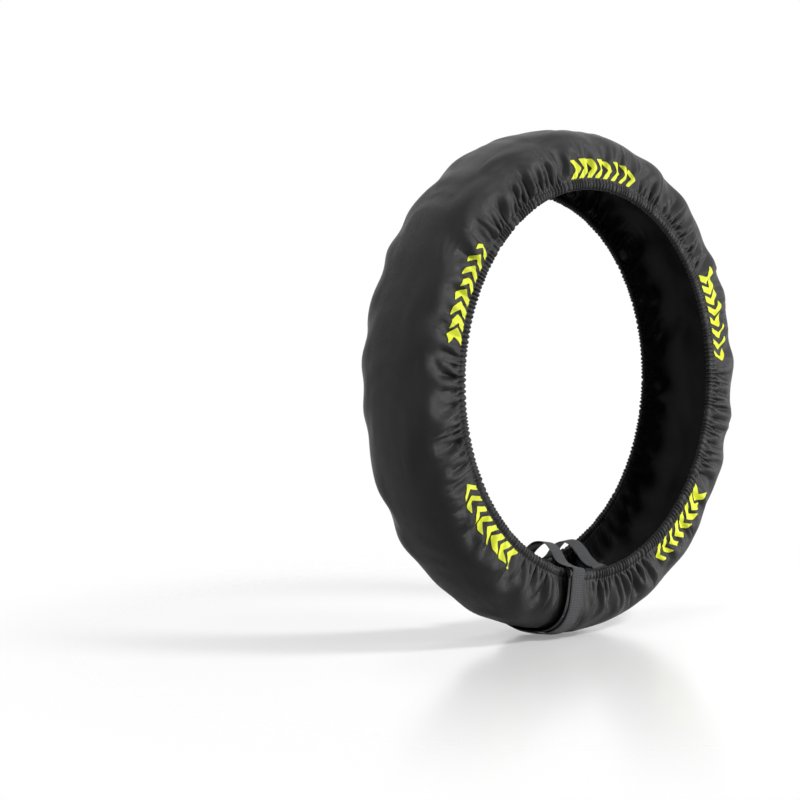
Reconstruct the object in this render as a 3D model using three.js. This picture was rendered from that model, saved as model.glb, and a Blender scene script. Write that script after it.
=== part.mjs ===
// Motorcycle tyre cover: one long strip of black cloth wrapped round a 19 inch rear wheel, with its
// two ends lapped at the bottom. An elastic band in a turned-in hem gathers each long edge. A webbing
// strap is sewn across each end, passes over the rim and closes on itself at the back with hook and
// loop tape. Millimetres, +Z up, origin at the wheel's centre, the axle along Y, the front at -Y.
import * as THREE from "three";

const DEG = Math.PI / 180;

// The cover's own size. Angles are in degrees from the bottom of the wheel, positive towards +X.
const treadRadius = 347;
const widestRadius = 296;
const halfWidth = 63.5;
const shoulderPower = 2.6;
const hemRadius = 259.5;
const hemHalfWidth = 62.5;
const cloth = 1;
const outerEnd = -12.6;
const innerEnd = 368;
const stations = 104;

// The turned-in hem, and the elastic band inside it.
const hemHeight = 13;
const hemDepth = 5;
const hemTopGap = 1.4;
const elasticWidth = 5.5;
const elasticThickness = 1;
const elasticLift = 3;
const elasticInset = 1.45;

// The lap: the inner end tucks in under the outer one, which swells out a little over it.
const tuckStart = 338;
const tuckFull = 346.5;
const tuckAtTread = 4.4;
const tuckAtSide = 5.5;
const tuckAtHem = 10.5;
const swell = 2;
const swellFull = 9;
const swellEnd = 22;

// The cloth hangs a little lower than the tyre at the bottom.
const sagDepth = 5;
const sagSpread = 45;

// Gathers: every other station stands out, most of all just outside the hem. They run straight out
// from the hem at the lap and lean one way or the other round the rest of the wheel.
const foldDepth = 4.4;
const foldAtHem = 0.3;
const foldLean = 3.5;
const leansRound = 3;
const treadSlack = 1.6;

// Straps and their closures.
const webbingWidth = 25;
const webbing = 1.2;
const sewnGap = 0.3;
const tapeWidth = 21;
const tape = 0.6;
const tapeGap = 0.3;
const outerStrapAngle = -9;
const innerStrapAngle = 3.6;
const tapeInnerRadius = 276;
const tapeOuterRadius = 310;
const lapOuterRadius = 316;

const clothFinish = new THREE.MeshStandardMaterial({ color: 0x232325, roughness: 0.8, metalness: 0 });
const webbingFinish = new THREE.MeshStandardMaterial({ color: 0x45474a, roughness: 0.85, metalness: 0 });
const elasticFinish = new THREE.MeshStandardMaterial({ color: 0x2e2e30, roughness: 0.7, metalness: 0 });
const tapeFinish = new THREE.MeshStandardMaterial({ color: 0x161617, roughness: 0.95, metalness: 0 });

// A smooth rise from 0 at low to 1 at high.
const rise = (low, high, x) => {
  const t = Math.min(1, Math.max(0, (x - low) / (high - low)));
  return t * t * (3 - 2 * t);
};

// A repeatable number from 0 to 1 for each whole number, so that no two folds are alike.
const chance = (n) => {
  const s = Math.sin(n * 12.9898 + 4.1414) * 43758.5453;
  return s - Math.floor(s);
};

// A point of the part from its angle round the wheel, its radius and its place along the axle.
const place = (angle, radius, y) =>
  new THREE.Vector3(radius * Math.sin(angle * DEG), y, -radius * Math.cos(angle * DEG));

const stationAngle = (index) => outerEnd + ((innerEnd - outerEnd) * index) / stations;
const fromBottom = (angle) => THREE.MathUtils.euclideanModulo(angle + 180, 360) - 180;
const tucked = (angle) => rise(tuckStart, tuckFull, angle);
const swollen = (angle) => swell * (1 - rise(swellFull, swellEnd, angle));
const sag = (angle) => sagDepth * Math.exp(-((fromBottom(angle) / sagSpread) ** 2));
const hemHalf = (angle) => hemHalfWidth + swollen(angle) - tuckAtHem * tucked(angle);

// How far a fold stands out at a station, on the front (way -1) or the back (way 1).
function fold(index, way) {
  const angle = stationAngle(index);
  const clearOfStrap = way < 0 ? rise(-4.5, 0, angle) : rise(9, 14, angle);
  const beforeTuck = 1 - rise(tuckStart - 8, tuckStart, angle);
  const size = 0.4 + 0.6 * chance(index + (way > 0 ? 37 : 0));
  return foldDepth * size * (index % 2 ? -1 : 1) * clearOfStrap * beforeTuck;
}

const awayFromLap = (angle) => rise(9, 20, angle) * (1 - rise(tuckStart - 14, tuckStart, angle));

// How far the cloth falls in between the tyre's knobs at a station.
const slack = (index) => -treadSlack * awayFromLap(stationAngle(index)) * chance(3 * index + 11);

// The angle at which a station's cloth lies at a radius.
function leaning(angle, radius) {
  const lean = foldLean * Math.sin(leansRound * angle * DEG) * awayFromLap(angle);
  return angle + lean * rise(hemRadius + hemHeight, treadRadius, radius);
}

// One side of the cloth's section, from the stitched line of the hem to the middle of the tread.
// Each point has a radius, a half width and the share of a fold that it takes.
function sideLine(angle) {
  const side = halfWidth - cloth / 2 + swollen(angle) - tuckAtSide * tucked(angle);
  const top = treadRadius - cloth / 2 + sag(angle) - tuckAtTread * tucked(angle);
  const hem = hemHalf(angle);
  const stitched = hemRadius + hemHeight;
  const points = [
    { radius: stitched, half: hem, share: foldAtHem },
    { radius: (stitched + widestRadius) / 2, half: (hem + side) / 2, share: 1 },
  ];
  for (const turn of [0, 26, 48, 68, 90]) {
    const out = Math.sin(turn * DEG) ** (2 / shoulderPower);
    const across = turn === 90 ? 0 : Math.cos(turn * DEG) ** (2 / shoulderPower);
    points.push({
      radius: widestRadius + (top - widestRadius) * out,
      half: side * across,
      share: across ** 3,
    });
  }
  return points;
}

// The turned-in hem, from its raw edge inside, down, round the bottom and up to the stitched line.
function hemLine(angle) {
  const hem = hemHalf(angle);
  const at = (lift, inset) => ({ radius: hemRadius + lift, half: hem - inset, share: foldAtHem });
  return [
    at(hemHeight - cloth / 2, hemTopGap),
    at(cloth / 2 + 2, hemDepth),
    at(cloth / 2, hemDepth / 2),
    at(cloth / 2 + 2, 0),
  ];
}

// The whole section at a station, from the front hem to the back hem, as [radius, y] pairs.
function section(index) {
  const angle = stationAngle(index);
  const points = [...hemLine(angle), ...sideLine(angle)];
  const drop = slack(index);
  const side = (way) =>
    points.map(({ radius, half, share }) => [
      radius + drop * rise(widestRadius, treadRadius - 8, radius),
      way * (half + fold(index, way) * share),
    ]);
  return [...side(-1), ...side(1).slice(0, -1).reverse()];
}

// A line of [radius, y] pairs moved sideways by a distance, with mitred corners. Left is positive.
function beside(line, distance) {
  const lastIndex = line.length - 1;
  const direction = (i) => {
    const from = line[Math.max(0, Math.min(i, lastIndex - 1))];
    const to = line[Math.max(1, Math.min(i + 1, lastIndex))];
    return new THREE.Vector2(to[0] - from[0], to[1] - from[1]).normalize();
  };
  return line.map(([radius, y], i) => {
    const ahead = direction(i);
    const middle = direction(i - 1).add(ahead).normalize();
    const reach = distance / Math.max(0.5, middle.dot(ahead));
    return [radius - middle.y * reach, y + middle.x * reach];
  });
}

// A closed solid through loops of points, one loop for each station, with flat ends. Each loop runs
// along one face of a thin wall and back along the other, so its ends close like a ladder. Both
// faces of the wall are split along the same diagonals, so that they keep apart in a twisted fold.
function wall(loops) {
  const size = loops[0].length;
  const faces = [];
  const quad = (a, b, c, d) => faces.push(a, b, c, a, c, d);
  for (let i = 0; i < loops.length - 1; i++) {
    for (let j = 0; j < size; j++) {
      const next = (j + 1) % size;
      const corners = [i * size + j, i * size + next, (i + 1) * size + next, (i + 1) * size + j];
      if (j >= size / 2) corners.push(corners.shift());
      quad(...corners);
    }
  }
  const last = (loops.length - 1) * size;
  for (let j = 0; j < size / 2 - 1; j++) {
    quad(j + 1, j, size - 1 - j, size - 2 - j);
    quad(last + j, last + j + 1, last + size - 2 - j, last + size - 1 - j);
  }
  const geometry = new THREE.BufferGeometry().setFromPoints(loops.flat());
  return geometry.setIndex(faces);
}

function sleeve() {
  const loops = [];
  for (let index = 0; index <= stations; index++) {
    const line = section(index);
    const faces = [...beside(line, -cloth / 2), ...beside(line, cloth / 2).reverse()];
    loops.push(faces.map(([radius, y]) => place(leaning(stationAngle(index), radius), radius, y)));
  }
  return wall(loops);
}

// The flat band inside the hem of one side, which follows the hem's folds.
function elastic(way) {
  const loops = [];
  const low = hemRadius + elasticLift;
  const high = low + elasticWidth;
  for (let index = 0; index <= stations; index++) {
    const angle = stationAngle(index);
    const half = hemHalf(angle) - elasticInset + fold(index, way) * foldAtHem;
    const near = way * half - elasticThickness / 2;
    const far = way * half + elasticThickness / 2;
    const corners = [[low, near], [high, near], [high, far], [low, far]];
    loops.push(corners.map(([radius, y]) => place(angle, radius, y)));
  }
  return wall(loops);
}

// A flat band of webbing or tape that follows a line of [radius, y] pairs, turned to its angle.
function band(line, thickness, width, angle) {
  const outline = [...beside(line, thickness / 2), ...beside(line, -thickness / 2).reverse()];
  const shape = new THREE.Shape(outline.map(([radius, y]) => new THREE.Vector2(radius, y)));
  const geometry = new THREE.ExtrudeGeometry(shape, { depth: width, bevelEnabled: false });
  return geometry.translate(0, 0, -width / 2).rotateY((90 - angle) * DEG);
}

// How far the middle of each layer lies outside the middle of the cloth.
const sewnOffset = (cloth + webbing) / 2 + sewnGap;
const loopOffset = sewnOffset + (webbing + tape) / 2 + tapeGap;
const hookOffset = loopOffset + tape + tapeGap;
const lapOffset = hookOffset + (tape + webbing) / 2 + tapeGap;

// The cloth's line under a strap from the back hem, over the tread, to the front hem.
function sewnLine(angle) {
  const side = sideLine(angle).map(({ radius, half }) => [radius, half]);
  const front = side.map(([radius, half]) => [radius, -half]).slice(0, -1);
  const hemEnd = [hemRadius + 4, hemHalf(angle)];
  return [hemEnd, ...side, ...front.reverse(), [hemEnd[0], -hemEnd[1]]];
}

// The stretch of a strap's back side between two radii, from the outer radius inwards, at a
// distance outside the cloth.
function backStretch(angle, distance, inner, outer) {
  const side = beside(sewnLine(angle), distance).filter(([, y]) => y > 0);
  const cut = (radius) => {
    const above = side.findIndex((point) => point[0] > radius);
    const [a, b] = [side[above - 1], side[above]];
    return [radius, a[1] + ((b[1] - a[1]) * (radius - a[0])) / (b[0] - a[0])];
  };
  const between = side.filter(([radius]) => radius > inner && radius < outer);
  return [cut(outer), ...between.reverse(), cut(inner)];
}

// The strap's free run over the rim, from the front hem to the back one.
function rimRun(angle) {
  const hem = hemHalf(angle);
  const half = [
    [hemRadius + 0.2, hem + sewnOffset],
    [hemRadius - 2, hem - 0.4],
    [hemRadius - 2.4, hem - 6],
    [250, 33],
    [238, 22],
    [229.5, 11],
    [227.5, 4],
  ];
  const front = half.map(([radius, y]) => [radius, -y]);
  return [...front, ...half.slice(1).reverse(), [hemRadius - 1.6, hem + 3]];
}

function strap(angle) {
  const sewn = beside(sewnLine(angle), sewnOffset);
  const overTape = backStretch(angle, lapOffset, hemRadius + 5, lapOuterRadius).reverse();
  return band([...sewn, ...rimRun(angle), ...overTape], webbing, webbingWidth, angle);
}

function closure(angle, distance) {
  const line = backStretch(angle, distance, tapeInnerRadius, tapeOuterRadius);
  return band(line, tape, tapeWidth, angle);
}

const part = new THREE.Group();
function add(name, geometry, finish) {
  const mesh = new THREE.Mesh(geometry, finish);
  mesh.name = name;
  part.add(mesh);
}

add("sleeve", sleeve(), clothFinish);
add("front_elastic", elastic(-1), elasticFinish);
add("back_elastic", elastic(1), elasticFinish);
for (const [name, angle] of [["outer_strap", outerStrapAngle], ["inner_strap", innerStrapAngle + 360]]) {
  add(name, strap(angle), webbingFinish);
  add(`${name}_loop_tape`, closure(angle, loopOffset), tapeFinish);
  add(`${name}_hook_tape`, closure(angle, hookOffset), tapeFinish);
}

export default part;
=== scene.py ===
# The looks of a motorcycle tyre cover: gathered black cloth with an elastic hem along both edges,
# lapped at the bottom and held by two webbing straps. Sizes are in millimetres and angles in
# degrees from the bottom of the wheel, positive towards +X, until a mesh is placed.
import math

import bmesh
import bpy
import numpy as np
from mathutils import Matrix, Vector


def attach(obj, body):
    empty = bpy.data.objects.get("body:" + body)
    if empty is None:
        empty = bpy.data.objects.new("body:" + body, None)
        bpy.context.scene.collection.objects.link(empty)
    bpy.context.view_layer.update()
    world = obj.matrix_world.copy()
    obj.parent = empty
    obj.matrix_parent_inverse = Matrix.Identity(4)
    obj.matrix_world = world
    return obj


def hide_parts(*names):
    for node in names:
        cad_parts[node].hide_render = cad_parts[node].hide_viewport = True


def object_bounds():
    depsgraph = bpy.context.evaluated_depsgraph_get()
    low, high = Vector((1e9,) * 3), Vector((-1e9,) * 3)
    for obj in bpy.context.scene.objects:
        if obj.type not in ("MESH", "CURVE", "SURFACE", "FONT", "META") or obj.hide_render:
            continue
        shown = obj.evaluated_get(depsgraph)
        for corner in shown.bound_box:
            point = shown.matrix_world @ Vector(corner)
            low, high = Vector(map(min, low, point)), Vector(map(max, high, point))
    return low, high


MM = 0.001
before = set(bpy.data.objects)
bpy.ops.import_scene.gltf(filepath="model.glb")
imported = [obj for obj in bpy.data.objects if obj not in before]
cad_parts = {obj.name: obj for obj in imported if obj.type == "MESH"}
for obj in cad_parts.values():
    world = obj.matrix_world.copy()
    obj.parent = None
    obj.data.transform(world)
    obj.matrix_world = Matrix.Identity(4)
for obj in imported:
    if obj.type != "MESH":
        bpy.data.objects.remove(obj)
solid_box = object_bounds()

# The cover's own sizes, the same as those of the solids. Near the lap the inner end is tucked in and
# the outer one swells over it, and at the bottom the cloth sags.
TREAD_RADIUS = 346.5
WIDEST_RADIUS = 296.0
HALF_WIDTH = 63.0
SHOULDER_POWER = 2.6
HEM_RADIUS = 259.5
HEM_HALF = 62.5
HEM_HEIGHT = 13.0
STITCHED_RADIUS = HEM_RADIUS + HEM_HEIGHT
OUTER_END = -12.6
INNER_END = 368.0
TUCK_START = 338.0
TUCK_FULL = 346.5
FOLDS_FADE = 340.5
TUCK_AT_TREAD = 4.4
TUCK_AT_SIDE = 5.5
TUCK_AT_HEM = 10.5
SWELL = 2.0
SWELL_FULL = 9.0
SWELL_END = 22.0
SAG_DEPTH = 5.0
SAG_SPREAD = 45.0
OUTER_STRAP_ANGLE = -9.0
INNER_STRAP_ANGLE = 363.6

# How finely the cloth is divided. The hems have twice the columns of the cloth between them.
BODY_COLUMNS = 1300
BODY_ROWS = 76
HEM_ROWS = 15
PLEAT_ROWS = 12
PLEAT_ZONE = 16.0
TURN_UNDER = 1.2
TURN_DEPTH = 1.3

# The hem's outline from its stitched line, round its bottom, to the raw edge inside. Each point has
# its height over the hem's bottom and how far it lies inside the cloth's side.
HEM_OUTLINE = [
    (13.0, 0.5), (11.2, -0.5), (8.6, -1.2), (5.6, -1.2), (3.0, -0.5), (1.2, 0.8), (0.4, 2.4),
    (0.7, 4.0), (2.2, 5.2), (5.0, 5.6), (8.0, 4.8), (10.6, 3.2), (12.6, 1.5),
]
HEM_WIDTH = sum(math.dist(a, b) for a, b in zip(HEM_OUTLINE, HEM_OUTLINE[1:]))


def rise(low, high, x):
    """A smooth rise from 0 at low to 1 at high."""
    t = np.clip((np.asarray(x, float) - low) / (high - low), 0, 1)
    return t * t * (3 - 2 * t)


def wander(x, spacing, seed):
    """A smooth random line between -1 and 1, with a new height at each spacing."""
    heights = np.random.default_rng(seed).uniform(-1, 1, 4096)
    place = np.asarray(x, float) / spacing + 512
    knot = np.floor(place).astype(int)
    share = rise(0, 1, place - knot)
    return heights[knot] * (1 - share) + heights[knot + 1] * share


def from_bottom(angle):
    return (angle + 180) % 360 - 180


def sag(angle):
    return SAG_DEPTH * np.exp(-((from_bottom(angle) / SAG_SPREAD) ** 2))


def tucked(angle):
    return rise(TUCK_START, TUCK_FULL, angle)


def swollen(angle):
    return SWELL * (1 - rise(SWELL_FULL, SWELL_END, angle))


def hem_half(angle):
    return HEM_HALF + swollen(angle) - TUCK_AT_HEM * tucked(angle)


def side_line():
    """The cloth's section from the stitched line to the middle of the tread, and its length."""
    turn = np.linspace(0, math.pi / 2, 400)
    out = np.sin(turn) ** (2 / SHOULDER_POWER)
    across = np.clip(np.cos(turn), 0, 1) ** (2 / SHOULDER_POWER)
    radius = WIDEST_RADIUS + (TREAD_RADIUS - WIDEST_RADIUS) * out
    half = HALF_WIDTH * across
    low = np.linspace(0, 1, 40)[:-1]
    radius = np.concatenate([STITCHED_RADIUS + (WIDEST_RADIUS - STITCHED_RADIUS) * low, radius])
    half = np.concatenate([HEM_HALF + (HALF_WIDTH - HEM_HALF) * low, half])
    run = np.concatenate([[0], np.cumsum(np.hypot(np.diff(radius), np.diff(half)))])
    return run, radius, half


RUN, RUN_RADIUS, RUN_HALF = side_line()
SIDE_LENGTH = RUN[-1]
AHEAD = np.stack([np.gradient(RUN_RADIUS), np.gradient(RUN_HALF)])
AHEAD /= np.hypot(*AHEAD)


def smooth_side(angle, distance):
    """The radius, half width and outward direction of the smooth cloth at a distance from its
    stitched line."""
    radius = np.interp(distance, RUN, RUN_RADIUS)
    half = np.interp(distance, RUN, RUN_HALF)
    out_radial = -np.interp(distance, RUN, AHEAD[1])
    out_side = np.interp(distance, RUN, AHEAD[0])
    top = TREAD_RADIUS + sag(angle) - TUCK_AT_TREAD * tucked(angle)
    side = HALF_WIDTH + swollen(angle) - TUCK_AT_SIDE * tucked(angle)
    hem = hem_half(angle)
    upper = radius > WIDEST_RADIUS
    stretch = (top - WIDEST_RADIUS) / (TREAD_RADIUS - WIDEST_RADIUS)
    climb = (radius - STITCHED_RADIUS) / (WIDEST_RADIUS - STITCHED_RADIUS)
    half = np.where(upper, half * side / HALF_WIDTH, hem + (side - hem) * climb)
    radius = np.where(upper, WIDEST_RADIUS + (radius - WIDEST_RADIUS) * stretch, radius)
    return radius, half, out_radial, out_side


# The cloth is smoother where it is printed, and lies flat under the straps. A pair of numbers is
# where a change starts and where it ends: under and over the print in millimetres from its lower
# edge, and at a strap's edge in degrees.
PRINT_ANGLES = (42, 109, 178, 246, 310)
PRINT_RADIUS = 288.0
PRINT_LENGTH = 148.0
PRINT_HEIGHT = 26.0
PRINT_ENDS = 4.0
UNDER_PRINT = (-5, 3)
OVER_PRINT = (27, 42)
FRONT_STRAP_EDGE = (-5.4, 0.5)
BACK_STRAP_EDGE = (8, 14)
PLEATS_UNDER_STRAP = 0.35

# The gathers, from the fine pleats at the hem to the long folds over the side. The pleats merge by
# twos and by fours away from the hem, and some longer folds lie over them.
PLEAT_PITCH = 6.4
PLEAT_DEPTH = 1.9
PLEAT_REACH = 10.0
PLEAT_REACH_VARIES = 5.0
PAIR_DEPTH = 2.9
PAIR_REACH = 46.0
PAIR_REACH_VARIES = 24.0
FOUR_DEPTH = 5.6
FOUR_REACH = 62.0
FOUR_REACH_VARIES = 30.0
WIDE_SHIFT = 2.2
FINE_SHIFT = 0.6
LEAN = 0.3
GROOVE_DEPTH = 0.5
GROOVE_WIDTH = 2.5
LONG_PITCH = 42.0
LONG_DEPTH = 6.5
LONG_START = (6, 26)
LONG_REACH = (70, 122)
REGION_ANGLES = [-12.6, 5, 35, 70, 100, 125, 150, 178, 205, 232, 262, 292, 318, 340, 368]
REGION_DEPTHS = [1.3, 1.5, 1.4, 1.1, 1.1, 1.4, 1.4, 1.1, 1.5, 1.35, 1.25, 1.15, 1.3, 1.6, 1.3]


def free_of_straps(angle, way):
    """0 where the cloth lies flat under a strap or against the lap, and 1 away from them."""
    front = rise(*FRONT_STRAP_EDGE, angle)
    back = rise(*BACK_STRAP_EDGE, angle)
    return np.where(way < 0, front, back) * (1 - rise(FOLDS_FADE, TUCK_FULL, angle))


def in_print(angle, distance):
    """1 on the printed marks, which keep the cloth smoother, and 0 away from them."""
    half_angle = math.degrees(PRINT_LENGTH / 2 / PRINT_RADIUS)
    low = PRINT_RADIUS - STITCHED_RADIUS - PRINT_HEIGHT / 2
    near = np.zeros_like(angle)
    for middle in PRINT_ANGLES:
        past_end = rise(half_angle, half_angle + PRINT_ENDS, np.abs(angle - middle))
        near = np.maximum(near, 1 - past_end)
    return near * rise(*UNDER_PRINT, distance - low) * (1 - rise(*OVER_PRINT, distance - low))


def gathers(angle, distance, way, merged):
    """The pleats that the elastic draws, as a height from about -1 to 1. A number of them are
    merged into one. Their tops are round, and the gaps between them are narrow."""
    along = np.radians(angle) * STITCHED_RADIUS
    seed = 10 if way < 0 else 20
    along = along + distance * LEAN * wander(along, 60, seed)
    wide_shift = WIDE_SHIFT * wander(along, 24, seed + 1)
    fine_shift = FINE_SHIFT * wander(along, 8, seed + 2)
    phase = along * math.pi / PLEAT_PITCH + wide_shift + fine_shift
    size = 0.74 + 0.34 * wander(along, 9 * merged, seed + 2 + merged)
    return size * (2.0 * np.abs(np.sin(phase / merged)) ** 0.7 - 1.3)


def region_depth(angle):
    """How deep the gathers are at an angle, which differs from one part of the wheel to another."""
    return np.interp(angle, REGION_ANGLES, REGION_DEPTHS)


def folds(angle, distance, way):
    """The height of the folds that reach over the side, from which the cloth settles."""
    along = np.radians(angle) * STITCHED_RADIUS
    seed = 50 if way < 0 else 60
    reach = FOUR_REACH + FOUR_REACH_VARIES * wander(along, 26, seed)
    height = FOUR_DEPTH * gathers(angle, distance, way, 4) * rise(2, 24, distance)
    height *= 1 - rise(reach * 0.4, reach, distance)
    strip = math.radians(INNER_END - OUTER_END) * STITCHED_RADIUS
    first = math.radians(OUTER_END) * STITCHED_RADIUS
    rng = np.random.default_rng(seed)
    for index in range(int(strip / LONG_PITCH) + 1):
        centre = first + (index + rng.uniform(-0.3, 0.3)) * LONG_PITCH
        depth = LONG_DEPTH * rng.uniform(0.45, 1.15)
        start = rng.uniform(*LONG_START)
        end = rng.uniform(*LONG_REACH)
        lean = rng.normal(0, LEAN)
        bend = rng.normal(0, LEAN) / 90
        crease = rng.uniform(0.13, 0.24) * LONG_PITCH
        side = along - centre - lean * distance - bend * distance ** 2
        near = np.abs(side) < 1.2 * LONG_PITCH
        if not near.any():
            continue
        t = side[near]
        d = distance[near]
        wide = 1 + d / 90
        ends = rise(start * 0.3, start + 4, d) * (1 - rise(end * 0.5, end, d))
        ridge = np.exp(-((t / (0.36 * LONG_PITCH * wide)) ** 2))
        valley = np.exp(-np.abs((t - 0.5 * LONG_PITCH) / (crease * wide)) ** 1.5)
        height[near] += depth * ends * (0.7 * ridge - 1.0 * valley)
    return height * region_depth(angle)


SLACK_DEPTH = 1.8
SLACK_SPACING = 7.5
DENT_DEPTH = 2.6
DENT_SPACING = 5.2
SLACK_REACH = (50, 100)


def tread_slack(angle, distance):
    """The cloth falls in a little between the tyre's knobs, which makes its outline uneven."""
    fall = 0.5 + 0.5 * wander(angle, SLACK_SPACING, 31)
    fine = np.abs(wander(angle + distance / 25, DENT_SPACING, 32))
    return -(SLACK_DEPTH * fall + DENT_DEPTH * (1 - fine)) * rise(*SLACK_REACH, distance)


def place(angle, radius, y):
    """Points in the cover's frame, in millimetres."""
    turn = np.radians(angle)
    return np.stack([radius * np.sin(turn), y, -radius * np.cos(turn)], -1)


# The large folds and the slack over the tread settle in a small cloth simulation. Pairs of points
# are moved until the cloth between them has its cut length, while the tyre holds the cloth out. The
# strip is cut to lie round the wheel at FULL_RADIUS, and the pleats take up its length as far as
# PLEATED_REACH from the stitched line. FALL is how far its weight moves the cloth in a step, GRIP the
# share of its way back to the tread, and STIFFNESS the share of a short ripple that is taken out. The
# other reaches are the distances from the stitched line between which each of them sets in.
SETTLE_COLUMNS = 640
SETTLE_ROWS = 30
SETTLE_STEPS = 90
FULL_RADIUS = 352.0
PLEATED_REACH = 34.0
TYRE_GAP = 4.5
HIGHEST_FOLD = 9.0
FALL = 0.012
GRIP = 0.03
GRIP_REACH = (80, 110)
STIFFNESS = 0.09
STIFF_REACH = (5, 30)
STIFF_WIDE_REACH = (25, 60)
SHOULDER_REACH = (60, 95)
CUT_ACROSS = 1.004

# Pairs of points, in steps along and across. The share of the cloth's length between them that they
# keep at least and at most, and how much of what is missing each round makes up.
SETTLE_PAIRS = [
    ((1, 0), 0.985, 1.0, 0.9), ((0, 1), 0.975, 1.005, 0.9), ((1, 1), 0.94, 1.05, 0.4),
    ((3, 0), 0.9, 2.0, 0.5), ((0, 3), 0.96, 2.0, 0.5),
]


def bend(points, stride, share):
    """The cloth's own stiffness, which takes out the shortest ripples round the wheel."""
    second = np.zeros_like(points)
    second[stride:-stride] = (points[:-2 * stride] + points[2 * stride:]) / 2 - points[stride:-stride]
    fourth = np.zeros_like(points)
    inner = slice(2 * stride, -2 * stride)
    fourth[inner] = (second[stride:-3 * stride] + second[3 * stride:-stride]) / 2 - second[inner]
    points -= fourth * share[..., None]


def pull(points, free, rest, steps, low, high, share):
    """Brings pairs of points, some steps apart along and across, between two shares of their rest
    length. The pairs of each round have no point in common."""
    along, across = steps
    length = np.hypot(rest[0] * along, rest[1] * across)[None, :]
    columns, rows = points.shape[:2]
    for first in range(2 * along if along else 1):
        for top in range(1 if along else 2 * across):
            stride = (2 * along, 1) if along else (1, 2 * across)
            near = (slice(first, columns - along, stride[0]), slice(top, rows - across, stride[1]))
            far = (slice(first + along, columns, stride[0]), slice(top + across, rows, stride[1]))
            gap = points[far] - points[near]
            size = np.sqrt((gap ** 2).sum(-1)) + 1e-9
            rests = length[:, near[1]]
            wanted = np.clip(size, low * rests, high * rests)
            weight = free[near] + free[far] + 1e-9
            move = gap * ((size - wanted) / size / weight * share)[..., None]
            points[near] += move * free[near][..., None]
            points[far] -= move * free[far][..., None]


def settle(steps):
    """The offsets of the settled cloth from the smooth one: outwards along the radius, along the
    axle and round the wheel, for columns round the wheel and rows from the back to the front."""
    angle, across = np.meshgrid(
        np.linspace(OUTER_END, INNER_END, SETTLE_COLUMNS),
        np.linspace(1, -1, 2 * SETTLE_ROWS + 1),
        indexing="ij",
    )
    way = np.where(across >= 0, 1, -1)
    distance = (1 - np.abs(across)) * SIDE_LENGTH
    radius, half, out_radial, out_side = smooth_side(angle, distance)
    smooth = place(angle, radius, way * half)
    outwards = place(angle, radius + out_radial, way * (half + out_side)) - smooth
    height = np.zeros_like(angle)
    free = np.zeros_like(angle)
    for side in (1, -1):
        part = way == side
        height[part] = folds(angle[part], distance[part], side)
        free[part] = free_of_straps(angle[part], side)
    height *= 1 - 0.6 * in_print(angle, distance)
    slack = tread_slack(angle, distance) * (1 - 0.7 * tucked(angle)) * rise(-6, 10, angle)
    points = smooth + outwards * (height * free + slack)[..., None]
    hold = free * (distance > 0.5) * rise(-6, 4, angle)
    hold[[0, -1]] = 0
    line = distance[0]
    path = np.interp(line, RUN, RUN_RADIUS)
    cut = path + (FULL_RADIUS - path) * rise(0, PLEATED_REACH, line)
    columns_apart = cut * math.radians(INNER_END - OUTER_END) / (SETTLE_COLUMNS - 1)
    rest = (columns_apart, np.full_like(line, SIDE_LENGTH / SETTLE_ROWS * CUT_ACROSS))
    lowest = slack - TYRE_GAP * (1 - rise(*SHOULDER_REACH, distance))
    grip = GRIP * rise(*GRIP_REACH, distance)[..., None]
    stiff = STIFFNESS * hold * (0.3 + 0.7 * rise(*STIFF_REACH, distance))
    stiff_wide = STIFFNESS * hold * rise(*STIFF_WIDE_REACH, distance)
    for _ in range(steps):
        points[..., 2] -= FALL * hold
        for pair, low, high, share in SETTLE_PAIRS:
            pull(points, hold, rest, pair, low, high, share)
        bend(points, 1, stiff)
        bend(points, 2, stiff_wide)
        points += (smooth + outwards * slack[..., None] - points) * grip * hold[..., None]
        out = ((points - smooth) * outwards).sum(-1)
        points += outwards * (np.clip(out, lowest, HIGHEST_FOLD) - out)[..., None] * hold[..., None]
    offset = points - smooth
    turn = np.radians(angle)
    radial = offset[..., 0] * np.sin(turn) - offset[..., 2] * np.cos(turn)
    round_wheel = offset[..., 0] * np.cos(turn) + offset[..., 2] * np.sin(turn)
    return np.stack([radial, offset[..., 1], round_wheel], -1)


SETTLED = settle(SETTLE_STEPS)


def settled_offset(angle, distance, way):
    """The settled cloth's offset at any place, by a smooth curve through its points."""
    column = (angle - OUTER_END) / (INNER_END - OUTER_END) * (SETTLE_COLUMNS - 1)
    row = (1 - way * (1 - distance / SIDE_LENGTH)) * SETTLE_ROWS
    total = np.zeros((len(angle), 3))
    taps = []
    for place_in, count in ((column, SETTLE_COLUMNS), (row, 2 * SETTLE_ROWS + 1)):
        start = np.clip(np.floor(place_in).astype(int), 0, count - 2)
        t = np.clip(place_in - start, 0, 1)
        shares = (
            -0.5 * t + t ** 2 - 0.5 * t ** 3,
            1 - 2.5 * t ** 2 + 1.5 * t ** 3,
            0.5 * t + 2 * t ** 2 - 1.5 * t ** 3,
            -0.5 * t ** 2 + 0.5 * t ** 3,
        )
        taps.append([(np.clip(start + k - 1, 0, count - 1), share) for k, share in enumerate(shares)])
    for column_at, column_share in taps[0]:
        for row_at, row_share in taps[1]:
            total += SETTLED[column_at, row_at] * (column_share * row_share)[:, None]
    return total


def pleat_share(free):
    """How much of the fine pleats' depth is left under a strap and away from it."""
    return PLEATS_UNDER_STRAP + (1 - PLEATS_UNDER_STRAP) * free


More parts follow.
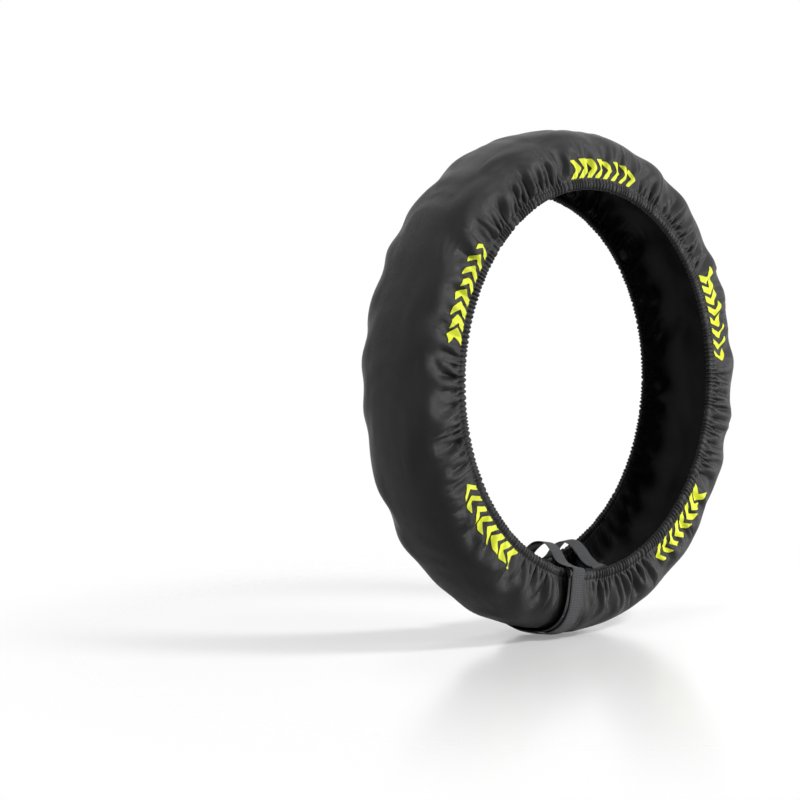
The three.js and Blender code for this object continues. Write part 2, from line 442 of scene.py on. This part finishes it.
def relief(angle, distance, way):
    """The height of the small gathers over the settled cloth, in the direction that it faces."""
    free = free_of_straps(angle, way)
    printed = in_print(angle, distance)
    along = np.radians(angle) * STITCHED_RADIUS
    seed = 41 if way < 0 else 42
    fade = PLEAT_REACH + PLEAT_REACH_VARIES * wander(along, 6, seed)
    fine = PLEAT_DEPTH * gathers(angle, distance, way, 1) * np.exp(-((distance / fade) ** 2))
    fine = fine * pleat_share(free) * (1 - 0.85 * printed)
    reach = PAIR_REACH + PAIR_REACH_VARIES * wander(along, 13, seed + 2)
    pairs = PAIR_DEPTH * gathers(angle, distance, way, 2) * region_depth(angle) * free
    pairs *= rise(1, 8, distance) * (1 - rise(reach * 0.35, reach, distance)) * (1 - 0.75 * printed)
    groove = -GROOVE_DEPTH * np.exp(-((distance / GROOVE_WIDTH) ** 2))
    return groove + fine + pairs


def turned_under(angle):
    """Where the cloth lies when its end is turned under: its angle, and how far it lies inside."""
    before = np.maximum(OUTER_END - angle, 0)
    after = np.maximum(angle - INNER_END, 0)
    under = before + after
    lies = np.where(before > 0, OUTER_END + before, np.where(after > 0, INNER_END - after, angle))
    return lies, TURN_DEPTH * rise(0, 0.45, under)


def cloth_point(angle, distance, way, over=0.0):
    """A point of the gathered cloth on one side, at a distance from its stitched line."""
    angle, inside = turned_under(angle)
    radius, half, out_radial, out_side = smooth_side(angle, distance)
    height = relief(angle, distance, way) + over - inside
    radial, sideways, round_wheel = settled_offset(angle, distance, way).T
    radius = radius + out_radial * height + radial
    y = way * (half + out_side * height) + sideways
    return place(angle + np.degrees(round_wheel / radius), radius, y)


def hem_point(angle, share, way):
    """A point of the hem, from its stitched line at share 0 to its raw edge inside at share 1."""
    angle, inside = turned_under(angle)
    outline = np.array(HEM_OUTLINE)
    lengths = np.hypot(*np.diff(outline, axis=0).T)
    stops = np.concatenate([[0], np.cumsum(lengths)]) / lengths.sum()
    lift = np.interp(share, stops, outline[:, 0])
    inset = np.interp(share, stops, outline[:, 1])
    ahead_lift = np.interp(share, stops, np.gradient(outline[:, 0]))
    ahead_inset = np.interp(share, stops, np.gradient(outline[:, 1]))
    size = np.hypot(ahead_lift, ahead_inset)
    free = free_of_straps(angle, way)
    depth = PLEAT_DEPTH * pleat_share(free) * (1 - 0.45 * rise(0.45, 0.75, share))
    height = gathers(angle, np.zeros_like(angle), way, 1) * depth - inside
    radius = HEM_RADIUS + lift - height * ahead_inset / size
    half = hem_half(angle) - inset - height * ahead_lift / size
    return place(angle, radius, way * half)


def sheet_mesh(name, columns, rows, shape, size):
    """A sheet of a number of columns and rows, each of whose points shape(along, across) places.
    Both run from 0 to 1. The map on it is in millimetres."""
    sheet = bmesh.new()
    bmesh.ops.create_grid(sheet, x_segments=columns, y_segments=rows, size=1)
    mesh = bpy.data.meshes.new(name)
    sheet.to_mesh(mesh)
    sheet.free()
    flat = np.zeros(len(mesh.vertices) * 3)
    mesh.vertices.foreach_get("co", flat)
    along, across = (flat.reshape(-1, 3)[:, :2].T + 1) / 2
    mesh.vertices.foreach_set("co", (shape(along, across) * MM).ravel())
    corner = np.zeros(len(mesh.loops), int)
    mesh.loops.foreach_get("vertex_index", corner)
    uv = mesh.uv_layers.new(name="cloth_map")
    uv.data.foreach_set("uv", np.stack([along * size[0], across * size[1]], -1)[corner].ravel())
    mesh.shade_smooth()
    mesh.update()
    return mesh


def show(name, mesh, finish):
    """A piece with its finish, which rides with the cover."""
    piece = bpy.data.objects.new(name, mesh)
    bpy.context.scene.collection.objects.link(piece)
    mesh.materials.append(finish)
    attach(piece, "root")
    return piece


STRIP_LENGTH = math.radians(INNER_END - OUTER_END) * TREAD_RADIUS


def strip_angle(along):
    return OUTER_END - TURN_UNDER + (INNER_END - OUTER_END + 2 * TURN_UNDER) * along


def body_shape(along, across):
    """The cloth between the two hems, from the back to the front."""
    reach = SIDE_LENGTH - PLEAT_ZONE
    back = across < 0.5
    distance = PLEAT_ZONE + reach * (1 - np.abs(2 * across - 1))
    angle = strip_angle(along)
    points = np.zeros((len(along), 3))
    for way, part in ((1, back), (-1, ~back)):
        points[part] = cloth_point(angle[part], distance[part], way)
    return points


def hem_shape(way):
    """A hem and the pleats beside it, in the same direction across as the cloth between them."""
    rows = HEM_ROWS + PLEAT_ROWS

    def shape(along, across):
        row = (across if way > 0 else 1 - across) * rows
        angle = strip_angle(along)
        points = hem_point(angle, np.clip(1 - row / HEM_ROWS, 0, 1), way)
        above = row > HEM_ROWS - 0.5
        distance = np.clip(row - HEM_ROWS, 0, None) / PLEAT_ROWS * PLEAT_ZONE
        points[above] = cloth_point(angle[above], distance[above], way)
        # Every second point of the seam lies midway between its neighbours, on the cloth's own edge.
        columns = 2 * BODY_COLUMNS
        column = np.rint(along * columns).astype(int)
        seam = row > rows - 0.5
        order = np.zeros(columns + 1, int)
        order[column[seam]] = np.flatnonzero(seam)
        odd = np.arange(1, columns, 2)
        points[order[odd]] = (points[order[odd - 1]] + points[order[odd + 1]]) / 2
        return points

    return shape


# Camera and lamps.
def add_camera():
    """The photograph's view, fitted to the cover's outline and its front hem."""
    azimuth = math.radians(-49.761)
    elevation = math.radians(1.275)
    distance = 2.3813
    beside = -0.22667
    below = -0.02949
    back = Vector((
        math.sin(azimuth) * math.cos(elevation),
        -math.cos(azimuth) * math.cos(elevation),
        math.sin(elevation),
    ))
    side = Vector((math.cos(azimuth), math.sin(azimuth), 0))
    target = side * beside + Vector((0, 0, below))
    data = bpy.data.cameras.new("camera")
    data.sensor_width = 36
    data.lens = 76.53
    camera = bpy.data.objects.new("camera", data)
    camera.location = back * distance
    camera.rotation_mode = "QUATERNION"
    camera.rotation_quaternion = (camera.location - target).to_track_quat("Z", "Y")
    bpy.context.scene.collection.objects.link(camera)
    bpy.context.scene.camera = camera


def add_lamp(name, location, width, level):
    """A square lamp that faces the cover. Its level is what it adds to the light on a surface that
    faces it, where 1 shows a colour as it is written."""
    data = bpy.data.lights.new(name, "AREA")
    data.size = width
    data.energy = level * math.pi ** 2 * Vector(location).length_squared
    lamp = bpy.data.objects.new(name, data)
    lamp.location = location
    lamp.rotation_mode = "QUATERNION"
    lamp.rotation_quaternion = Vector(location).to_track_quat("Z", "Y")
    bpy.context.scene.collection.objects.link(lamp)


class Socket:
    """A shader socket in a plain Python sum."""

    def __init__(self, nodes, socket):
        self.nodes = nodes
        self.socket = socket

    def sum(self, operation, *values):
        return self.nodes.node("ShaderNodeMath", {"operation": operation}, dict(enumerate(values)))

    def __add__(self, other):
        return self.sum("ADD", self, other)

    def __mul__(self, other):
        return self.sum("MULTIPLY", self, other)

    __radd__ = __add__
    __rmul__ = __mul__

    def wave(self, pitch):
        """A wave from -1 to 1 in this direction, which repeats at each pitch."""
        return self.sum("SINE", self * (2 * math.pi / pitch))

    def beside(self, output):
        """Another output of the same node."""
        return Socket(self.nodes, self.socket.node.outputs[output])


class Nodes:
    """The nodes of a material or of the world, and the shader that they feed."""

    def __init__(self, tree, shader):
        self.tree = tree
        self.shader = tree.nodes[shader]

    def feed(self, socket, value):
        if isinstance(value, Socket):
            self.tree.links.new(value.socket, socket)
        else:
            socket.default_value = value

    def node(self, kind, settings=None, inputs=None, output=0):
        """A node of a kind, its settings, and the values or links of its sockets."""
        made = self.tree.nodes.new(kind)
        for name, value in (settings or {}).items():
            setattr(made, name, value)
        for key, value in (inputs or {}).items():
            self.feed(made.inputs[key], value)
        return Socket(self, made.outputs[output])

    def shade(self, **inputs):
        for name, value in inputs.items():
            self.feed(self.shader.inputs[name.replace("_", " ")], value)

    def seen(self):
        """1 for what the camera sees, straight, mirrored or through something clear, and 0 for the
        light that falls on the cover."""
        path = self.node("ShaderNodeLightPath")
        total = path
        for ray in ("Is Transmission Ray", "Is Glossy Ray"):
            total = self.node(
                "ShaderNodeMath", {"operation": "ADD", "use_clamp": True}, {0: total, 1: path.beside(ray)}
            )
        return total


class Finish(Nodes):
    """A material. What is the same all over is set on the shader's own sockets."""

    def __init__(self, name, **fixed):
        self.material = bpy.data.materials.new(name)
        self.material.use_nodes = True
        super().__init__(self.material.node_tree, "Principled BSDF")
        self.shade(**fixed)

    def mapped(self):
        """The place on the piece's own map, and its two directions in millimetres."""
        uv = self.node("ShaderNodeUVMap", {"uv_map": "cloth_map"})
        along = self.node("ShaderNodeSeparateXYZ", None, {0: uv})
        return uv, along, along.beside("Y")

    def noise(self, coordinates, scale, detail=4, roughness=0.6):
        return self.node(
            "ShaderNodeTexNoise", None,
            {"Vector": coordinates, "Scale": scale, "Detail": detail, "Roughness": roughness},
        )

    def between(self, low, high, share):
        """A colour between two."""
        return self.node(
            "ShaderNodeMix", {"data_type": "RGBA"}, {0: share, 6: (*low, 1), 7: (*high, 1)}, 2
        )

    def bump(self, height, depth, strength):
        return self.node(
            "ShaderNodeBump", None, {"Height": height, "Distance": depth, "Strength": strength}
        )


# How far apart the threads, ribs and cords of each finish are, in millimetres.
CLOTH_THREADS = 1.1
CLOTH_TWILL = 3.6
WEBBING_RIBS = 2.3
WEBBING_CORDS = 1.6
WEBBING_TONE = 0.055
ELASTIC_CORDS = 0.9
ELASTIC_RIBS = 0.7
TAPE_LOOPS = 1.4


def cloth_finish():
    """Black plain-woven polyamide: fine threads both ways, a faint twill line and a soft sheen."""
    finish = Finish("black_woven_cloth", Sheen_Weight=0.02, Sheen_Roughness=0.4, Specular_IOR_Level=0.22)
    uv, along, across = finish.mapped()
    weave = along.wave(CLOTH_THREADS) * across.wave(CLOTH_THREADS)
    twill = (along + across).wave(CLOTH_TWILL)
    cloudy = finish.noise(uv, 0.035, 5, 0.6)
    speckle = finish.noise(uv, 0.9, 3, 0.7)
    crumple = finish.noise(uv, 0.055, 3, 0.55)
    shade = cloudy * 0.75 + speckle * 0.2 + twill * 0.08
    finish.shade(
        Base_Color=finish.between((0.004, 0.004, 0.0043), (0.012, 0.012, 0.0125), shade),
        Roughness=0.32 + cloudy * 0.12 + weave * 0.03,
        Normal=finish.bump(weave * 0.5 + speckle * 1.2 + twill * 0.35 + crumple * 4, 0.0004, 0.4),
    )
    return finish.material


def webbing_finish(tone):
    """Dark grey webbing with close ribs across it and a flat bound edge along each side."""
    finish = Finish("ribbed_webbing", Sheen_Weight=0.1, Sheen_Roughness=0.5, Specular_IOR_Level=0.15)
    uv, along, across = finish.mapped()
    rib = along.wave(WEBBING_RIBS)
    cord = across.wave(WEBBING_CORDS)
    worn = finish.noise(uv, 0.12, 4, 0.65)
    fibre = finish.noise(uv, 1.7, 2, 0.6)
    shade = worn * 0.5 + fibre * 0.3 + rib * 0.14
    low = (tone * 0.55, tone * 0.56, tone * 0.6)
    high = (tone * 1.5, tone * 1.53, tone * 1.6)
    finish.shade(
        Base_Color=finish.between(low, high, shade),
        Roughness=0.62 + worn * 0.14,
        Normal=finish.bump(rib * 0.8 + cord * 0.25 + fibre * 0.8, 0.0005, 0.6),
    )
    return finish.material


def elastic_finish():
    """Braided elastic: fine lengthwise cords crossed by a tight rib."""
    finish = Finish("braided_elastic", Sheen_Weight=0.1, Specular_IOR_Level=0.3)
    uv, along, across = finish.mapped()
    cord = across.wave(ELASTIC_CORDS)
    rib = along.wave(ELASTIC_RIBS)
    worn = finish.noise(uv, 0.3, 3, 0.6)
    finish.shade(
        Base_Color=finish.between((0.016, 0.016, 0.017), (0.05, 0.05, 0.053), worn + cord * 0.15),
        Roughness=0.6 + worn * 0.2,
        Normal=finish.bump(cord + rib * 0.5, 0.0003, 0.6),
    )
    return finish.material


def tape_finish():
    """The fuzzy face of hook and loop tape."""
    finish = Finish("hook_and_loop", Sheen_Weight=0.5, Sheen_Roughness=0.6, Specular_IOR_Level=0.2)
    uv, along, across = finish.mapped()
    loops = finish.noise(uv, 2.2, 3, 0.8)
    row = along.wave(TAPE_LOOPS) * across.wave(TAPE_LOOPS)
    finish.shade(
        Base_Color=finish.between((0.006, 0.006, 0.006), (0.028, 0.028, 0.029), loops + row * 0.2),
        Roughness=0.85 + loops * 0.1,
        Normal=finish.bump(loops * 1.2 + row * 0.6, 0.0006, 0.9),
    )
    return finish.material


def print_finish():
    """Opaque fluorescent yellow ink that lets a little of the weave show."""
    finish = Finish("yellow_print", Specular_IOR_Level=0.35, Sheen_Weight=0.05)
    uv, along, across = finish.mapped()
    weave = along.wave(CLOTH_THREADS) * across.wave(CLOTH_THREADS)
    mottle = finish.noise(uv, 0.25, 4, 0.6)
    finish.shade(
        Base_Color=finish.between((0.6, 0.68, 0.012), (0.78, 0.84, 0.02), mottle * 1.1 + weave * 0.04),
        Roughness=0.48 + mottle * 0.15,
        Normal=finish.bump(weave * 0.5 + mottle * 0.3, 0.0003, 0.3),
    )
    return finish.material


def thread_finish():
    """Twisted sewing thread."""
    finish = Finish("sewing_thread", Sheen_Weight=0.2, Specular_IOR_Level=0.4)
    spot = finish.node("ShaderNodeTexCoord", output="Object")
    twist = finish.noise(spot, 2600, 2, 0.5)
    finish.shade(
        Base_Color=finish.between((0.03, 0.03, 0.031), (0.085, 0.085, 0.088), twist),
        Roughness=0.45 + twist * 0.2,
        Normal=finish.bump(twist, 0.0001, 0.5),
    )
    return finish.material


# The straps and the tapes that close them. An offset is how far a band's middle lies outside the cloth.
WEBBING_WIDTH = 25.0
WEBBING_THICKNESS = 1.2
SEWN_OFFSET = 1.4
LOOP_OFFSET = 2.6
HOOK_OFFSET = 3.5
LAP_OFFSET = 4.7
TAPE_WIDTH = 21.0
TAPE_THICKNESS = 0.6
TAPE_INNER_RADIUS = 276.0
TAPE_OUTER_RADIUS = 310.0
LAP_OUTER_RADIUS = 316.0
HEM_END = 4.0
HEM_FLAT_END = 8.5
LINE_STEP = 1.6
BAND_SIDES = 28
BAND_EDGE = 2.0
THINNER_EDGE = 0.25


def side_path(angle, way, offset):
    """The line on one side of the cloth from near the hem to the tread, at an offset outside it."""
    distance = np.linspace(0, SIDE_LENGTH, 60)
    radius, half, out_radial, out_side = smooth_side(np.full_like(distance, angle), distance)
    over_hem = [HEM_RADIUS + HEM_END, HEM_RADIUS + HEM_FLAT_END]
    radius = np.concatenate([over_hem, radius + out_radial * offset])
    half = half + out_side * offset
    hem = float(hem_half(angle)) + offset
    half = np.concatenate([[hem, hem], half])
    return np.stack([radius, way * half], -1)


def rim_run(angle):
    """The strap's free run over the rim, from the front hem to the back one."""
    hem = float(hem_half(angle))
    half = [
        (HEM_RADIUS + 0.2, hem + SEWN_OFFSET),
        (HEM_RADIUS - 2, hem - 0.4),
        (HEM_RADIUS - 2.4, hem - 6),
        (250, 33),
        (238, 22),
        (229.5, 11),
        (227.5, 4),
    ]
    front = [(radius, -y) for radius, y in half]
    back = [(radius, y) for radius, y in half[1:]][::-1]
    return np.array(front + back + [(HEM_RADIUS - 1.6, hem + 3)])


def even_line(points, step):
    """A smooth line through points, with equal steps along it."""
    points = np.asarray(points, float)
    gaps = np.hypot(*np.diff(points, axis=0).T)
    stops = np.concatenate([[0], np.cumsum(np.maximum(gaps, 1e-6))])
    tangents = np.gradient(points, stops, axis=0)
    fine = np.linspace(0, stops[-1], int(stops[-1] / step) + 1)
    span = np.clip(np.searchsorted(stops, fine, side="right") - 1, 0, len(points) - 2)
    width = (stops[span + 1] - stops[span])[:, None]
    t = (fine - stops[span])[:, None] / width
    return (
        (2 * t ** 3 - 3 * t ** 2 + 1) * points[span]
        + (t ** 3 - 2 * t ** 2 + t) * width * tangents[span]
        + (3 * t ** 2 - 2 * t ** 3) * points[span + 1]
        + (t ** 3 - t ** 2) * width * tangents[span + 1]
    )


def close_tube(mesh):
    """Joins the long edges of a rolled-up sheet and fills its two ends."""
    tube = bmesh.new()
    tube.from_mesh(mesh)
    bmesh.ops.remove_doubles(tube, verts=tube.verts, dist=1e-6)
    bmesh.ops.holes_fill(tube, edges=[edge for edge in tube.edges if edge.is_boundary])
    bmesh.ops.recalc_face_normals(tube, faces=tube.faces)
    tube.to_mesh(mesh)
    tube.free()
    return mesh


def on_line(line, along, angle, sideways, outwards):
    """Points at a share of a line of radii and y, at an offset to its side and outwards from it."""
    ahead = np.gradient(line, axis=0)
    ahead /= np.hypot(*ahead.T)[:, None]
    at = along * (len(line) - 1)
    low = np.clip(at.astype(int), 0, len(line) - 2)
    share = (at - low)[:, None]
    middle = line[low] * (1 - share) + line[low + 1] * share
    direction = ahead[low] * (1 - share) + ahead[low + 1] * share
    radius = middle[:, 0] - direction[:, 1] * outwards
    y = middle[:, 1] + direction[:, 0] * outwards
    points = place(np.full_like(radius, angle), radius, y)
    points[:, 0] += math.cos(math.radians(angle)) * sideways
    points[:, 2] += math.sin(math.radians(angle)) * sideways
    return points


def squared(part, power):
    """A sine or cosine that is pushed outwards, which makes a round section squarer."""
    return np.sign(part) * np.abs(part) ** power


def band_piece(name, line, width, thickness, angle, finish):
    """A flat band with rounded edges that follows a line of radii and y."""
    line = even_line(line, LINE_STEP)
    length = LINE_STEP * (len(line) - 1)

    def shape(along, across):
        turn = across * 2 * math.pi
        sideways = squared(np.cos(turn), 0.35) * width / 2
        outwards = squared(np.sin(turn), 0.7) * thickness / 2
        outwards = outwards * (1 - THINNER_EDGE * (np.abs(sideways) > width / 2 - BAND_EDGE))
        return on_line(line, along, angle, sideways, outwards)

    mesh = close_tube(sheet_mesh(name, len(line) - 1, BAND_SIDES, shape, (length, 2 * width)))
    return show(name, mesh, finish)


def strap_line(angle):
    """Over the cloth from the back to the front, over the rim, and back onto the closure."""
    back = side_path(angle, 1, SEWN_OFFSET)
    front = side_path(angle, -1, SEWN_OFFSET)[::-1][1:]
    lap = side_path(angle, 1, LAP_OFFSET)
    lap = lap[(lap[:, 0] > HEM_RADIUS + 5) & (lap[:, 0] < LAP_OUTER_RADIUS) & (lap[:, 1] > 0)]
    return np.concatenate([back, front, rim_run(angle), lap])


def tape_line(angle, offset):
    """The line of a tape on the back of the cover."""
    line = side_path(angle, 1, offset)
    return line[(line[:, 0] > TAPE_INNER_RADIUS) & (line[:, 0] < TAPE_OUTER_RADIUS)]


def straps(webbing, tape):
    """The two straps, each with the two tapes of its closure."""
    for name, angle in (("outer_strap", OUTER_STRAP_ANGLE), ("inner_strap", INNER_STRAP_ANGLE)):
        strap = band_piece(
            f"{name}_webbing", strap_line(angle), WEBBING_WIDTH, WEBBING_THICKNESS, angle,
            webbing,
        )
        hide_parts(name)
        for kind, offset in (("loop", LOOP_OFFSET), ("hook", HOOK_OFFSET)):
            piece = band_piece(
                f"{name}_{kind}_pile", tape_line(angle, offset), TAPE_WIDTH, TAPE_THICKNESS,
                angle, tape,
            )
            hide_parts(f"{name}_{kind}_tape")


# The elastic bands inside the hems.
ELASTIC_WIDTH = 5.5
ELASTIC_THICKNESS = 0.9
ELASTIC_LIFT = 5.75
ELASTIC_INSET = 2.3
ELASTIC_RIPPLE = 0.12
ELASTIC_RIPPLE_PITCH = 5.2
ELASTIC_COLUMNS = 1500
ELASTIC_SIDES = 10


def elastic_band(way, finish):
    """The flat elastic in one hem, which runs round the wheel from one end to the other."""

    def shape(along, across):
        angle = OUTER_END + (INNER_END - OUTER_END) * along
        turn = across * 2 * math.pi
        lift = squared(np.cos(turn), 0.4) * ELASTIC_WIDTH / 2
        out = squared(np.sin(turn), 0.7) * ELASTIC_THICKNESS / 2
        round_wheel = np.radians(angle) * STITCHED_RADIUS
        ripple = ELASTIC_RIPPLE * np.sin(round_wheel * 2 * math.pi / ELASTIC_RIPPLE_PITCH)
        half = hem_half(angle) - ELASTIC_INSET + out + ripple
        return place(angle, HEM_RADIUS + ELASTIC_LIFT + lift, way * half)

    name = "front_elastic_band" if way < 0 else "back_elastic_band"
    size = (STRIP_LENGTH, 2 * ELASTIC_WIDTH)
    mesh = close_tube(sheet_mesh(name, ELASTIC_COLUMNS, ELASTIC_SIDES, shape, size))
    piece = show(name, mesh, finish)
    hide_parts("front_elastic" if way < 0 else "back_elastic")
    return piece


# Stitches. Each row is one thread that shows above the cloth between its holes.
STITCH_PITCH = 3.0
STITCH_STEPS = 6
STITCH_SIDES = 5
THREAD_RADIUS = 0.3
STITCH_ARCH = 2.2
STITCH_SINK = 1.4
SEAM_DISTANCE = 1.2
STRAP_MARGIN = 2.4
STRAP_FACE = 0.5
END_ROW_ANGLE = -12.0
END_ROW_START = 6.0


def stitch_row(name, length, follow, finish):
    """A row of stitches. follow(along, sideways, over) places the points of its thread."""
    stitches = int(length / STITCH_PITCH)

    def shape(along, across):
        turn = across * 2 * math.pi
        arch = STITCH_ARCH * np.abs(np.sin(along * stitches * math.pi)) ** 0.5
        lift = THREAD_RADIUS * (arch - STITCH_SINK)
        return follow(along, THREAD_RADIUS * np.cos(turn), lift + THREAD_RADIUS * np.sin(turn))

    columns = stitches * STITCH_STEPS
    mesh = close_tube(sheet_mesh(name, columns, STITCH_SIDES, shape, (length, THREAD_RADIUS)))
    return show(name, mesh, finish)


def hem_stitches(way, finish):
    """The row that holds one hem, all along the strip."""

    def follow(along, sideways, over):
        angle = OUTER_END + (INNER_END - OUTER_END) * along
        return cloth_point(angle, SEAM_DISTANCE + sideways, way, over)

    name = "front_hem_stitches" if way < 0 else "back_hem_stitches"
    return stitch_row(name, math.radians(INNER_END - OUTER_END) * STITCHED_RADIUS, follow, finish)


def strap_stitches(name, angle, finish):
    """Two rows along the part of a strap that is sewn to the cloth."""
    back = side_path(angle, 1, SEWN_OFFSET)[2:]
    front = side_path(angle, -1, SEWN_OFFSET)[::-1][1:-2]
    line = even_line(np.concatenate([back, front]), LINE_STEP)
    for side in (-1, 1):
        middle = side * (WEBBING_WIDTH / 2 - STRAP_MARGIN)

        def follow(along, sideways, over):
            return on_line(line, along, angle, middle + sideways, STRAP_FACE + over)

        row = "left" if side < 0 else "right"
        stitch_row(f"{name}_{row}_stitches", LINE_STEP * (len(line) - 1), follow, finish)


def end_stitches(finish):
    """The row that holds the turned-under end of the strip, from the back hem to the front one."""
    reach = SIDE_LENGTH - END_ROW_START

    def follow(along, sideways, over):
        distance = END_ROW_START + reach * (1 - np.abs(2 * along - 1))
        angle = END_ROW_ANGLE + np.degrees(sideways / TREAD_RADIUS)
        points = np.zeros((len(along), 3))
        for way, part in ((1, along < 0.5), (-1, along >= 0.5)):
            points[part] = cloth_point(angle[part], distance[part], way, over[part])
        return points

    return stitch_row("outer_end_stitches", 2 * reach, follow, finish)


# The print: a row of chevrons that grow thinner.
CHEVRONS = 8
CHEVRON_DEPTH = 11.0
WIDEST_STROKE = 12.0
STROKE_STEP = 0.7
NARROWEST_GAP = 5.6
GAP_STEP = 0.7
CORNER_ROUNDING = 1.6
PRINT_CELL = 1.0
PRINT_SPARE = 20.0
PRINT_LIFT = 0.8


def chevron(flat, left, stroke, height, point):
    """One chevron of a stroke and a height that points along the mark."""
    half = height / 2
    outline = [
        (left, half), (left + stroke, half), (left + stroke + point, 0),
        (left + stroke, -half), (left, -half), (left + point, 0),
    ]
    corners = [flat.verts.new((x, y, 0)) for x, y in outline]
    flat.faces.new(corners)


def mark_outline():
    """The flat mark, cut into small cells so that it can follow the gathers."""
    flat = bmesh.new()
    left = -PRINT_LENGTH / 2
    for index in range(CHEVRONS):
        stroke = WIDEST_STROKE - STROKE_STEP * index
        chevron(flat, left, stroke, PRINT_HEIGHT, CHEVRON_DEPTH)
        left += stroke + NARROWEST_GAP + GAP_STEP * index
    bmesh.ops.bevel(
        flat, geom=flat.verts[:], offset=CORNER_ROUNDING, segments=3, profile=0.5,
        affect="VERTICES", material=-1,
    )
    directions = (
        (Vector((1, 0, 0)), PRINT_LENGTH / 2 + PRINT_SPARE),
        (Vector((0, 1, 0)), PRINT_HEIGHT / 2),
    )
    for normal, reach in directions:
        for step in range(int(-reach / PRINT_CELL), int(reach / PRINT_CELL) + 1):
            geometry = flat.verts[:] + flat.edges[:] + flat.faces[:]
            bmesh.ops.bisect_plane(flat, geom=geometry, plane_co=normal * step * PRINT_CELL, plane_no=normal)
    mesh = bpy.data.meshes.new("mark")
    flat.to_mesh(mesh)
    flat.free()
    return mesh


def prints(finish):
    """The marks on both sides, laid on the gathered cloth."""
    template = mark_outline()
    flat = np.zeros(len(template.vertices) * 3)
    template.vertices.foreach_get("co", flat)
    flat = flat.reshape(-1, 3)
    middle = (flat[:, 0].max() + flat[:, 0].min()) / 2
    corner = np.zeros(len(template.loops), int)
    template.loops.foreach_get("vertex_index", corner)
    for way, side in ((-1, "front"), (1, "back")):
        for number, centre in enumerate(PRINT_ANGLES):
            mesh = template.copy()
            angle = centre + way * np.degrees((flat[:, 0] - middle) / PRINT_RADIUS)
            distance = PRINT_RADIUS - STITCHED_RADIUS + flat[:, 1]
            points = cloth_point(angle, distance, way, PRINT_LIFT)
            mesh.vertices.foreach_set("co", (points * MM).ravel())
            uv = mesh.uv_layers.new(name="cloth_map")
            uv.data.foreach_set("uv", flat[:, :2][corner].ravel())
            mesh.shade_smooth()
            mesh.update()
            show(f"{side}_print_{number + 1}", mesh, finish)


# The background and the floor, whose lengths are in metres.
AMBIENT = 0.15
FLOOR_RADIUS = 3.0
FLOOR_GAP = 0.0005
FLOOR_GLOW = 0.2
FADE_START = 0.42
FADE_END = 1.0


def background():
    """A white background for the camera and for reflections, and plain light from all round."""
    world = bpy.data.worlds.new("studio")
    world.use_nodes = True
    bpy.context.scene.world = world
    studio = Nodes(world.node_tree, "Background")
    level = studio.node(
        "ShaderNodeMapRange", None, {"Value": studio.seen(), "To Min": AMBIENT, "To Max": 1}
    )
    studio.shade(Color=(1, 1, 1, 1), Strength=level)


def add_floor():
    """A pale floor that holds the shadow and fades into the background. Its glow is for the camera's
    straight view alone and lights nothing."""
    flat = bmesh.new()
    bmesh.ops.create_circle(flat, cap_ends=True, segments=96, radius=FLOOR_RADIUS)
    bmesh.ops.translate(flat, verts=flat.verts, vec=Vector((0, 0, solid_box[0][2] - FLOOR_GAP)))
    mesh = bpy.data.meshes.new("floor")
    flat.to_mesh(mesh)
    flat.free()
    finish = Finish(
        "pale_floor", Specular_IOR_Level=0.4, Roughness=0.2, Base_Color=(0.97, 0.97, 0.97, 1),
        Emission_Strength=FLOOR_GLOW,
    )
    finish.shade(Emission_Color=finish.node("ShaderNodeLightPath", output="Is Camera Ray"))
    spot = finish.node("ShaderNodeTexCoord", output="Object")
    from_middle = finish.node("ShaderNodeVectorMath", {"operation": "LENGTH"}, {0: spot}, "Value")
    fade = finish.node(
        "ShaderNodeMapRange", {"interpolation_type": "SMOOTHSTEP"},
        {"Value": from_middle, "From Min": FADE_START, "From Max": FADE_END},
    )
    clear = finish.node("ShaderNodeBsdfTransparent")
    solid = Socket(finish, finish.shader.outputs[0])
    mixed = finish.node("ShaderNodeMixShader", None, {0: fade, 1: solid, 2: clear})
    finish.tree.links.new(mixed.socket, finish.tree.nodes["Material Output"].inputs["Surface"])
    floor = bpy.data.objects.new("floor", mesh)
    mesh.materials.append(finish.material)
    bpy.context.scene.collection.objects.link(floor)


add_camera()
add_lamp("key_lamp", (0.9, -2.2, 2.1), 0.7, 0.6)
add_lamp("front_lamp", (2.1, -2.2, 0.0), 0.5, 0.8)
add_lamp("left_lamp", (-2.7, -0.3, 1.2), 0.7, 0.15)
add_lamp("top_lamp", (0.0, 0.6, 2.5), 0.8, 0.1)
background()
add_floor()
bpy.context.scene.view_settings.view_transform = "Standard"

cloth = cloth_finish()
webbing = webbing_finish(WEBBING_TONE)
elastic = elastic_finish()
tape = tape_finish()
ink = print_finish()
thread = thread_finish()

body = show(
    "cover_cloth",
    sheet_mesh("cover_cloth", BODY_COLUMNS, BODY_ROWS, body_shape, (STRIP_LENGTH, 2 * SIDE_LENGTH)),
    cloth,
)
hems = []
for way, name in ((-1, "front_hem"), (1, "back_hem")):
    size = (STRIP_LENGTH, PLEAT_ZONE + HEM_WIDTH)
    mesh = sheet_mesh(name, 2 * BODY_COLUMNS, HEM_ROWS + PLEAT_ROWS, hem_shape(way), size)
    hems.append(show(name, mesh, cloth))
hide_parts("sleeve")
bands = [elastic_band(way, elastic) for way in (-1, 1)]
straps(webbing, tape)
prints(ink)
for way in (-1, 1):
    hem_stitches(way, thread)
strap_stitches("outer_strap", OUTER_STRAP_ANGLE, thread)
strap_stitches("inner_strap", INNER_STRAP_ANGLE, thread)
end_stitches(thread)
body_width = 2 * (SIDE_LENGTH - PLEAT_ZONE)
body_width * MM
for hem, band in zip(hems, bands):
    flat = ((PLEAT_ZONE + HEM_WIDTH) * MM, STRIP_LENGTH * MM)
